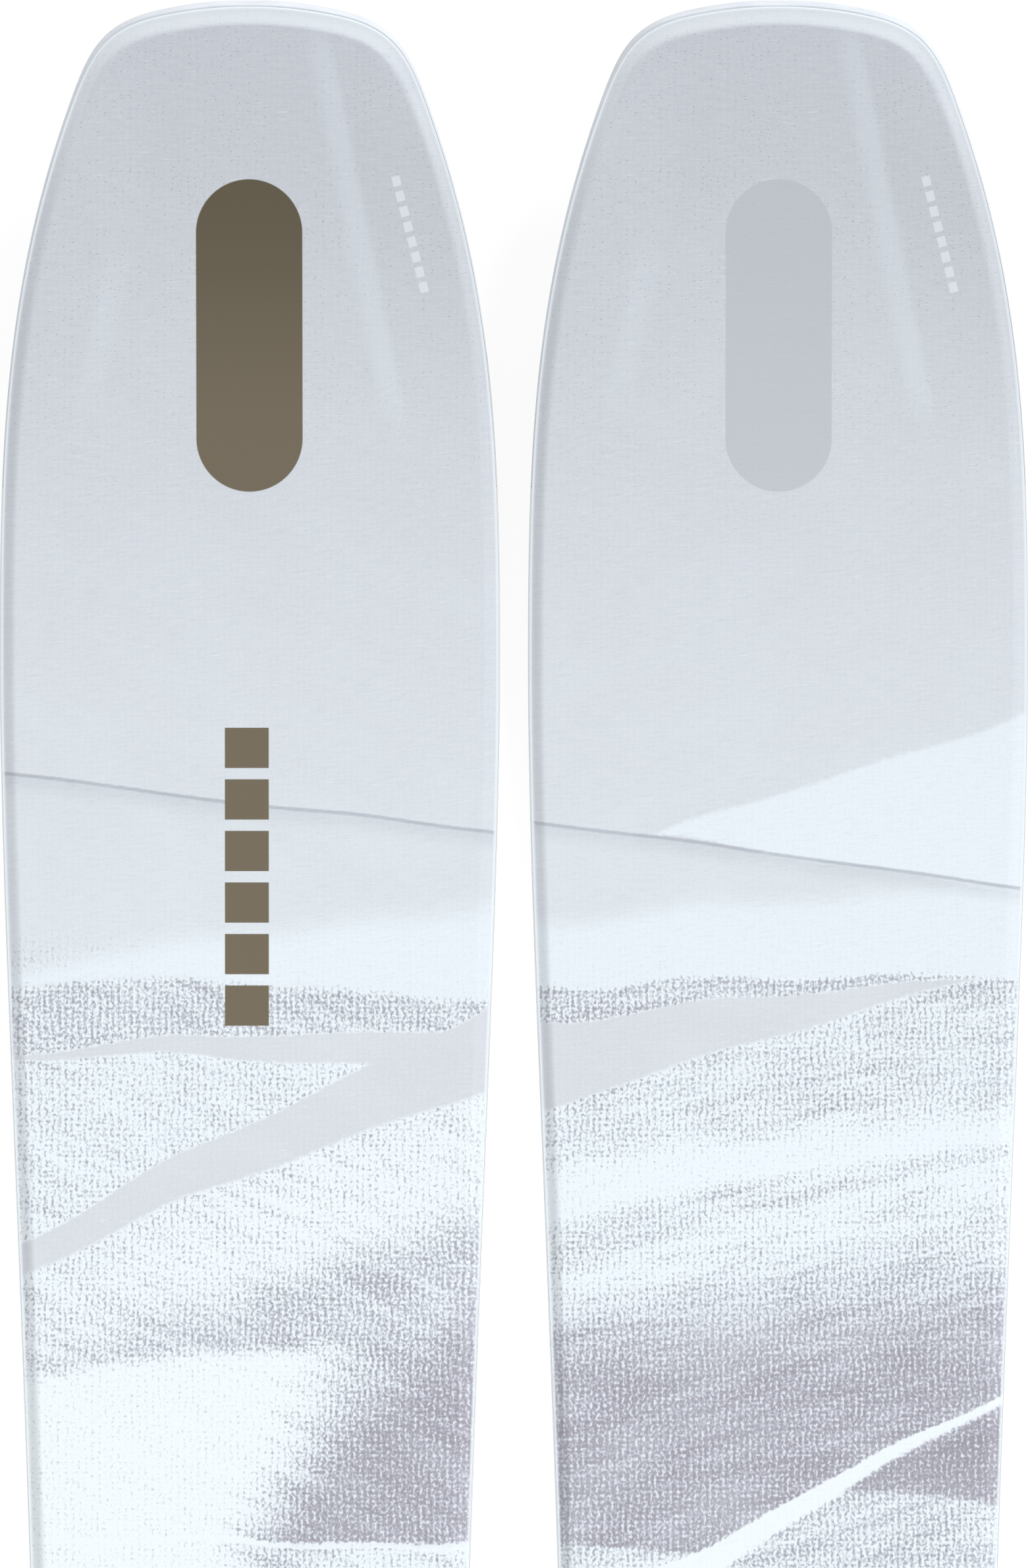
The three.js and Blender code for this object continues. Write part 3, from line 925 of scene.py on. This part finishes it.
class Artwork(Finish):
    """The painted topsheet of one ski. Its tint and shade are built up stroke by stroke."""

    def __init__(self, side):
        super().__init__(f"topsheet_{side}", roughness=0.4)
        self.side = side
        self.x = self.across - SKIS[side]
        self.slant = self.along + self.x * STREAK_SLOPES[side]
        drift_along = self.along / 60 + DRIFT_STARTS[side]
        drift = (self.noise(self.x / 40, drift_along, detail=0) - 0.5) * 7
        self.wobble = self.sway(across=1.8, along=1.8, depth=1.2, detail=2) + drift
        self.tint = self.ramp(WASH)
        self.shade = self.along.rise(235, 262, 0, 0.34)

    def sway(self, across, along, depth, detail=0):
        """Noise around 0 whose whole range is depth, with features of these sizes in millimetres."""
        return (self.noise(self.x / across, self.along / along, detail=detail) - 0.5) * depth

    def ramp(self, stops):
        """A colour that changes along the ski, through (station, colour) stops."""
        node = self.tree.nodes.new("ShaderNodeValToRGB")
        reach = stops[-1][0]
        elements = node.color_ramp.elements
        while len(elements) < len(stops):
            elements.new(0.5)
        for element, (station, tint) in zip(elements, stops):
            element.position = station / reach
            element.color = tint
        feed(self.tree, self.along / reach, node.inputs[0])
        return node.outputs[0]

    def add(self, tint, share):
        self.tint = self.mix(self.tint, tint, share)

    def behind(self, edge, soft):
        """1 behind a slanted edge and 0 ahead of it."""
        left, right = edge
        line = self.x * ((right - left) / (2 * STROKE_REACH)) + (left + right) / 2
        return (self.along - line + self.wobble).rise(-soft, soft)

    def cover(self, area, tint, shade):
        self.add(tint, area)
        self.shade = self.shade + (shade - self.shade) * area

    def near_strokes(self):
        for front, back, soft, tint, strength, shade in STROKES[self.side]:
            area = self.behind(front, soft[0]) * (1 - self.behind(back, soft[1])) * strength
            self.cover(area, tint, shade)

    def far_strokes(self):
        slant = self.along + self.x * FAR_SLANT + self.wobble * 2
        bend = (self.noise(self.along / 130, self.x / 90) - 0.5) * 90
        phase = ((slant + bend - FAR_FROM) / FAR_PERIOD).remainder(1)
        fade_from, fade_to = FAR_FADE_OUT
        drawn = self.along.rise(FAR_FROM, FAR_FROM + FAR_FADE_IN) * self.along.rise(fade_to, fade_from)
        for low, high, soft, tint, shade in FAR_STROKES:
            self.cover(phase.within(low, high, soft) * drawn, tint, shade)
        self.cover(self.along.rise(TAIL_WASH_FROM, fade_to), TAIL_PAINT, 0)

    def canvas(self):
        """Height of the canvas's threads, about 0.5."""
        warp = self.sway(across=7, along=7, depth=5)
        across = (self.x * (2 * math.pi / WEAVE_ACROSS) + warp).wave()
        along = (self.along * (2 * math.pi / WEAVE_ALONG) + warp * 0.7).wave()
        knots = self.sway(across=0.7, along=0.88, depth=1.3, detail=1)
        return across * 0.13 + along * 0.055 + knots + 0.5

    def weave(self):
        """Shows the darker ground in the gaps between the canvas's threads."""
        threads = self.canvas()
        uneven = (self.noise(self.x / 22, self.slant / 3, detail=2) - 0.5) * 0.5
        shade = self.shade + uneven * self.shade.rise(0, 0.3)
        woven = self.shade.rise(0.02, 0.3)
        gaps = threads + shade
        ground = self.mix(GREY_SHADE, SHADE, self.shade.rise(0.4, 0.7))
        self.add(ground, gaps.rise(0.78, 1.36) * woven * 0.84)
        self.add(DEEP_SHADE, gaps.rise(1.22, 1.62) * woven * 0.45)
        self.add(SNOW, threads.rise(0.36, 0.14) * woven * 0.4)
        self.add(WHITE, (0.5 - threads).most(0) * 0.16)
        self.add(DARK, (threads - 0.5).most(0) * 0.07)
        return threads

    def brush(self):
        """Fine strokes of the brush, level at the tip and rising to the right further back."""
        slope = self.along.rise(50, 150, 0.01, 0.11)
        across = self.along + self.x * slope + self.sway(across=14, along=7, depth=1.6)
        strokes = self.noise(self.x / 5.5, across / 0.55, detail=3, rough=0.7)
        amount = self.along.rise(300, 230, 0.12, 0.28)
        self.add(WHITE, (strokes - 0.5).most(0) * amount)
        self.add(DARK, (0.5 - strokes).most(0) * amount)
        scratches = self.noise(self.x / 6, across / 0.3 + 9, detail=0).rise(0.78, 0.86)
        self.add(SNOW, scratches * 0.25)
        clouds = self.noise(self.x / 32, self.slant / 18).rise(0.3, 0.85)
        self.add(BAND, clouds * self.along.rise(40, 240, 0.03, 0.14))
        return strokes

    def specks(self):
        """Small dark grains in the paint near the tip, thicker in some places than in others."""
        distance, chance = self.dots(self.x / 2.2, self.along / 1.35)
        ragged = distance + self.noise(self.x / 0.5, self.along / 0.3) * 0.16
        near_tip = self.along.rise(170, 60, 0.15, 1)
        crowd = self.noise(self.x / 20, self.along / 14, detail=0)
        chosen = (chance + crowd).rise(1.0, 1.25)
        self.add(SPECK, ragged.rise(0.23, 0.12) * chosen * near_tip * 0.55)

    def thin_line(self):
        """A dark line left by the edge of a brush, with a soft shadow behind it."""
        left, right = LINES[self.side]
        slope = (right - left) / (2 * STROKE_REACH)
        distance = self.along - self.x * slope - (left + right) / 2 + self.wobble * 0.25
        self.add(LINE, distance.size().rise(0.75, 0.15) * 0.75)
        self.add(LINE, distance.rise(0, 0.5) * distance.rise(6, 0.6) * 0.22)

    def painted_crease_sheen(self):
        """A painted sheen, standing in for a reflection, beside the shovel's crease on each side: clear
        on the right, short and faint on the left.
        """
        for aside, start, stations, strength in (
            (self.x, 17, (9, 108), 0.23),
            (-self.x, 22, (68, 104), 0.12),
        ):
            outside = aside - (self.along * 0.2 + start)
            sheen = outside.rise(-6, -1) * outside.rise(3.6, 1)
            self.add(BAND, sheen * self.along.within(*stations, 8) * strength)

    def painted_edge_light_and_shade(self):
        """Painted light and shade on the rolled edge: a painted highlight over the tip's roll and along
        the lip, paler on the slope near the tip, and painted shade on the slope further back.
        """
        inset = self.inset()
        rolled = inset.rise(5.4, 3.6) * self.along.rise(24, 6)
        self.add(SNOW, rolled * 0.34)
        slope = inset.rise(4.4, 2.8)
        self.add(SNOW, slope * self.along.rise(125, 20, 0, 0.22))
        self.add(SHADE, slope * self.along.rise(20, 60, 0, 0.13))
        self.add(SNOW, inset.rise(1.3, 0.6) * 0.8)

    def rounded_bar(self, upper, lower, strength):
        """A plain mark in the shovel: one bar with round ends."""
        middle, half_straight, radius = 88, 27, 14
        beyond = ((self.along - middle).size() - half_straight).most(0)
        area = (radius - self.x.hypotenuse(beyond)).rise(-0.15, 0.15) * strength
        self.add(self.mix(upper, lower, self.along.rise(50, 115)), area)
        return area

    def row_of_blocks(self):
        """Six plain blocks in a row, near the middle of the ski."""
        start, pitch, count = 191, 13.6, 6
        left, right, length = -6.6, 5, 10.8
        place = (self.along - start).remainder(pitch)
        block = place.within(0.15, length, 0.12) * self.x.within(left, right, 0.12)
        area = block * self.along.within(start, start + count * pitch - 1, 0.1)
        self.add(BRONZE_BOTTOM, area)
        return area

    def row_of_dashes(self):
        """Small pale dashes in a slanting row beside the crease."""
        start_x, start_station = 38.4, 46
        turn = math.atan2(8.2, 32)
        pitch, length, half_width = 4.1, 32.5, 1.1
        x, along = self.x - start_x, self.along - start_station
        down = along * math.cos(turn) + x * math.sin(turn)
        aside = x * math.cos(turn) - along * math.sin(turn)
        dashes = down.remainder(pitch).within(0.2, 2.9, 0.15) * down.within(0, length, 0.1)
        self.add(PALE_MARK, dashes * aside.within(-half_width, half_width, 0.15) * 0.85)


def topsheet(side):
    art = Artwork(side)
    art.near_strokes()
    art.far_strokes()
    threads = art.weave()
    art.thin_line()
    brushed = art.brush()
    art.specks()
    # painted sheen beside the shovel's crease, standing in for a reflection
    art.painted_crease_sheen()
    # painted highlights and painted shade on the rolled edge
    art.painted_edge_light_and_shade()
    if side == "left":
        printed = art.rounded_bar(BRONZE_TOP, BRONZE_BOTTOM, 1).most(art.row_of_blocks())
    else:
        printed = art.rounded_bar(GHOST, GHOST, 0.75)
    art.row_of_dashes()
    rough_threads = threads * art.along.rise(120, 300, 0.15, 1)
    roughness = brushed * 0.14 + rough_threads * 0.08 + 0.26 - printed * 0.05
    relief = rough_threads * 0.7 + brushed * 0.3
    return art.surface(art.tint, roughness, relief * (1 - printed * 0.8), 0.03)


# ---- The other materials ------------------------------------------------------------------------


def moulded(name, tint, worn, grain):
    """Moulded plastic with a fine matt grain, a little paler in patches."""
    finish = Finish(name, 0.5)
    coarse = finish.noise(finish.across / 9, finish.along / 22, finish.up / 4, detail=3)
    fine = finish.noise(finish.across / grain, finish.along / grain, finish.up / grain)
    tint = finish.mix(tint, worn, coarse.rise(0.35, 0.75) * 0.5 + fine * 0.15)
    return finish.surface(tint, fine * 0.16 + 0.38, fine, 0.02)


def sidewall():
    """Sidewall plastic, milled along the ski."""
    finish = Finish("sidewall", 0.45)
    cuts = finish.noise(finish.along / 45, finish.across / 0.3, finish.up / 0.14)
    cloud = finish.noise(finish.along / 30, finish.up / 3, detail=3)
    light = cloud * 0.6 + cuts * 0.4
    tint = finish.mix(colour(222, 227, 232), colour(240, 243, 246), light)
    return finish.surface(tint, cuts * 0.2 + 0.34, cuts, 0.015)


def running_base():
    """Sintered base: dark, a little marbled, with the crossed lines of a stone grind."""
    finish = Finish("base", 0.4)
    x, along = finish.across, finish.along
    marble = finish.noise(x / 7, along / 11, detail=4)
    one_way = finish.noise((along + x * 3) / 60, (x - along / 3) / 0.45)
    other_way = finish.noise((along - x * 3) / 60, (x + along / 3) / 0.45)
    lines = one_way.most(other_way)
    light = marble.rise(0.4, 0.8) + lines * 0.3
    tint = finish.mix(colour(34, 36, 40), colour(58, 61, 66), light)
    return finish.surface(tint, lines * 0.25 + 0.24, lines, 0.012)


def ground_steel():
    """Edge steel, polished along the ski by the grinding belt."""
    finish = Finish("edge_steel", 0.25, metallic=1)
    belt = finish.noise(finish.along / 28, finish.across / 0.12, finish.up / 0.1)
    patches = finish.noise(finish.along / 60, finish.across / 20)
    light = belt * 0.6 + patches * 0.4
    tint = finish.mix(colour(182, 185, 189), colour(226, 228, 231), light)
    return finish.surface(tint, belt * 0.2 + 0.16, belt, 0.006)


def brushed_sheet():
    """Aluminium sheet, brushed along the ski."""
    finish = Finish("titanal", 0.3, metallic=1)
    strokes = finish.noise(finish.along / 40, finish.across / 0.2, detail=3)
    tint = finish.mix(colour(176, 180, 184), colour(212, 215, 218), strokes)
    return finish.surface(tint, strokes * 0.2 + 0.22, strokes, 0.006)


def cloth(name, thread, gap, pitch, roughness):
    """A resin-soaked cloth whose threads cross at 45 degrees."""
    finish = Finish(name, roughness)
    turn = 2 * math.pi / pitch
    one = ((finish.across + finish.along) * turn).wave()
    other = ((finish.across - finish.along) * turn).wave()
    threads = one.most(other) * 0.5 + 0.5
    fibres = finish.noise(finish.across / 0.3, finish.along / 0.3, finish.up / 0.3)
    tint = finish.mix(gap, thread, threads * 0.8 + fibres * 0.2)
    return finish.surface(tint, threads * 0.1 + roughness, threads, 0.04)


def rubber_foil():
    """Black rubber with a dusty grain."""
    finish = Finish("rubber", 0.8)
    grain = finish.noise(finish.across / 0.25, finish.along / 0.25, finish.up / 0.25, detail=3)
    tint = finish.mix(colour(22, 23, 25), colour(48, 50, 53), grain.rise(0.45, 0.8))
    return finish.surface(tint, grain * 0.3 + 0.6, grain, 0.02)


def wood(name, early, late):
    """Long-grained wood: wavy year rings seen on the side, and fine pores."""
    finish = Finish(name, 0.65)
    drift = finish.noise(finish.along / 240, finish.across / 9, finish.up / 6) * 9
    rings = ((finish.across / 1.1 + finish.up / 1.6 + drift) * 2).wave() * 0.5 + 0.5
    pores = finish.noise(finish.along / 7, finish.across / 0.25, finish.up / 0.25, detail=3)
    grain = rings.rise(0.3, 1) * 0.6 + pores.rise(0.45, 0.75) * 0.4
    tint = finish.mix(early, late, grain)
    return finish.surface(tint, pores * 0.2 + 0.55, pores, 0.03)


MATERIALS = {
    "topsheet_left": topsheet("left"),
    "topsheet_right": topsheet("right"),
    "rim": moulded("rim", colour(208, 214, 221), colour(224, 230, 236), 0.35),
    "sidewall": sidewall(),
    "fibreglass": cloth("fibreglass", colour(206, 210, 190), colour(176, 182, 160), 3, 0.4),
    "titanal": brushed_sheet(),
    "poplar": wood("poplar", colour(226, 211, 176), colour(196, 176, 134)),
    "paulownia": wood("paulownia", colour(216, 191, 148), colour(178, 148, 104)),
    "carbon_mesh": cloth("carbon_mesh", colour(58, 60, 64), colour(22, 23, 25), 4, 0.3),
    "rubber": rubber_foil(),
    "edge_steel": ground_steel(),
    "base": running_base(),
    "protector": moulded("protector", colour(72, 69, 64), colour(96, 92, 85), 0.4),
}

# ---- Assembly -----------------------------------------------------------------------------------


def ski_pieces():
    """Every piece of one ski as (name, kind of material, flat-built mesh)."""
    pieces = [
        ("topsheet", "topsheet", plate(0, LAYERS_TO, topsheet_profile, count=8)),
        ("upper_laminate", "fibreglass", plate(UPPER_FROM, LAYERS_TO, upper_laminate_profile)),
        ("tip_spacer", "rim", plate(0, CORE_FROM - SIDE_GAP, tip_spacer_profile)),
        ("tail_spacer", "rim", plate(CORE_TO + SIDE_GAP, LAYERS_TO, tail_spacer_profile)),
        ("lower_laminate", "fibreglass", plate(0, LAYERS_TO, lower_laminate_profile)),
        ("carbon_mesh", "carbon_mesh", plate(0, LAYERS_TO, carbon_mesh_profile)),
        ("base", "base", plate(0, LAYERS_TO, base_profile)),
        ("tail_protector", "protector", tail_protector()),
    ]
    backbone = bar(BACKBONE_FROM + SIDE_GAP, BACKBONE_TO - SIDE_GAP, backbone_section)
    pieces.append(("titanal_backbone", "titanal", backbone))
    for number in range(STRINGERS):
        stringer = bar(CORE_FROM, CORE_TO, lambda rib: stringer_section(rib, number))
        slot = "paulownia" if number % 2 else "poplar"
        pieces.append((f"core_stringer_{number + 1}", slot, stringer))
    for name, slot, start, profile in (
        ("sidewall", "sidewall", CORE_FROM, sidewall_profile),
        ("steel_edge", "edge_steel", EDGES_FROM + 2 * STEP, steel_edge_profile),
        ("damping_strip", "rubber", STRIPS_FROM + 2 * STEP, damping_profile),
    ):
        right = rail(start, LAYERS_TO, profile)
        pieces.append((f"{name}_right", slot, right))
        pieces.append((f"{name}_left", slot, mirrored(right)))
    return pieces


for side in SKIS:
    for name, slot, mesh in ski_pieces():
        build(side, name, mesh, f"{slot}_{side}" if slot == "topsheet" else slot)

# ---- Studio -------------------------------------------------------------------------------------

FLOOR_REACH = 12
FLOOR_LEVEL = -0.0003
FLOOR_GREY = 0.22
FLOOR_GLOW = 0.9
SKY_LIGHT = 0.53
KEY_LIGHT = 2.25
KEY_SPREAD = math.radians(25)
TOWARDS_KEY = (0.5, 0.5, 0.7)

# A long lens straight above the skis' fronts, as in the photo.
VIEW_STATION = 206
VIEW_HEIGHT = 0.414
FOCAL_LENGTH = 900
SENSOR = 36


def make_floor():
    mesh = bpy.data.meshes.new("floor")
    corners = [(-1, -1), (1, -1), (1, 1), (-1, 1)]
    places = [(x * FLOOR_REACH, y * FLOOR_REACH, FLOOR_LEVEL) for x, y in corners]
    mesh.from_pydata(places, [], [(0, 1, 2, 3)])
    floor = add_object("floor", mesh)
    material = bpy.data.materials.new("studio_floor")
    material.use_nodes = True
    shader = material.node_tree.nodes["Principled BSDF"]
    shader.inputs["Base Color"].default_value = (FLOOR_GREY, FLOOR_GREY, FLOOR_GREY, 1)
    shader.inputs["Emission Color"].default_value = (1, 1, 1, 1)
    shader.inputs["Emission Strength"].default_value = FLOOR_GLOW
    shader.inputs["Specular IOR Level"].default_value = 0
    mesh.materials.append(material)


def make_lights():
    scene = bpy.context.scene
    scene.view_settings.view_transform = "Standard"
    world = bpy.data.worlds.new("studio")
    world.use_nodes = True
    background = world.node_tree.nodes["Background"]
    background.inputs["Color"].default_value = (1, 1, 1, 1)
    background.inputs["Strength"].default_value = SKY_LIGHT
    scene.world = world
    key = bpy.data.lights.new("key", "SUN")
    key.energy = KEY_LIGHT
    key.angle = KEY_SPREAD
    lamp = add_object("key", key)
    lamp.rotation_euler = Vector(TOWARDS_KEY).to_track_quat("Z", "Y").to_euler()


def make_camera():
    data = bpy.data.cameras.new("camera")
    data.lens = FOCAL_LENGTH
    data.sensor_width = SENSOR
    camera = add_object("camera", data)
    distance = VIEW_HEIGHT * FOCAL_LENGTH / SENSOR
    camera.location = (0, MM * (LENGTH / 2 - VIEW_STATION), distance)
    bpy.context.scene.camera = camera


make_floor()
make_lights()
make_camera()
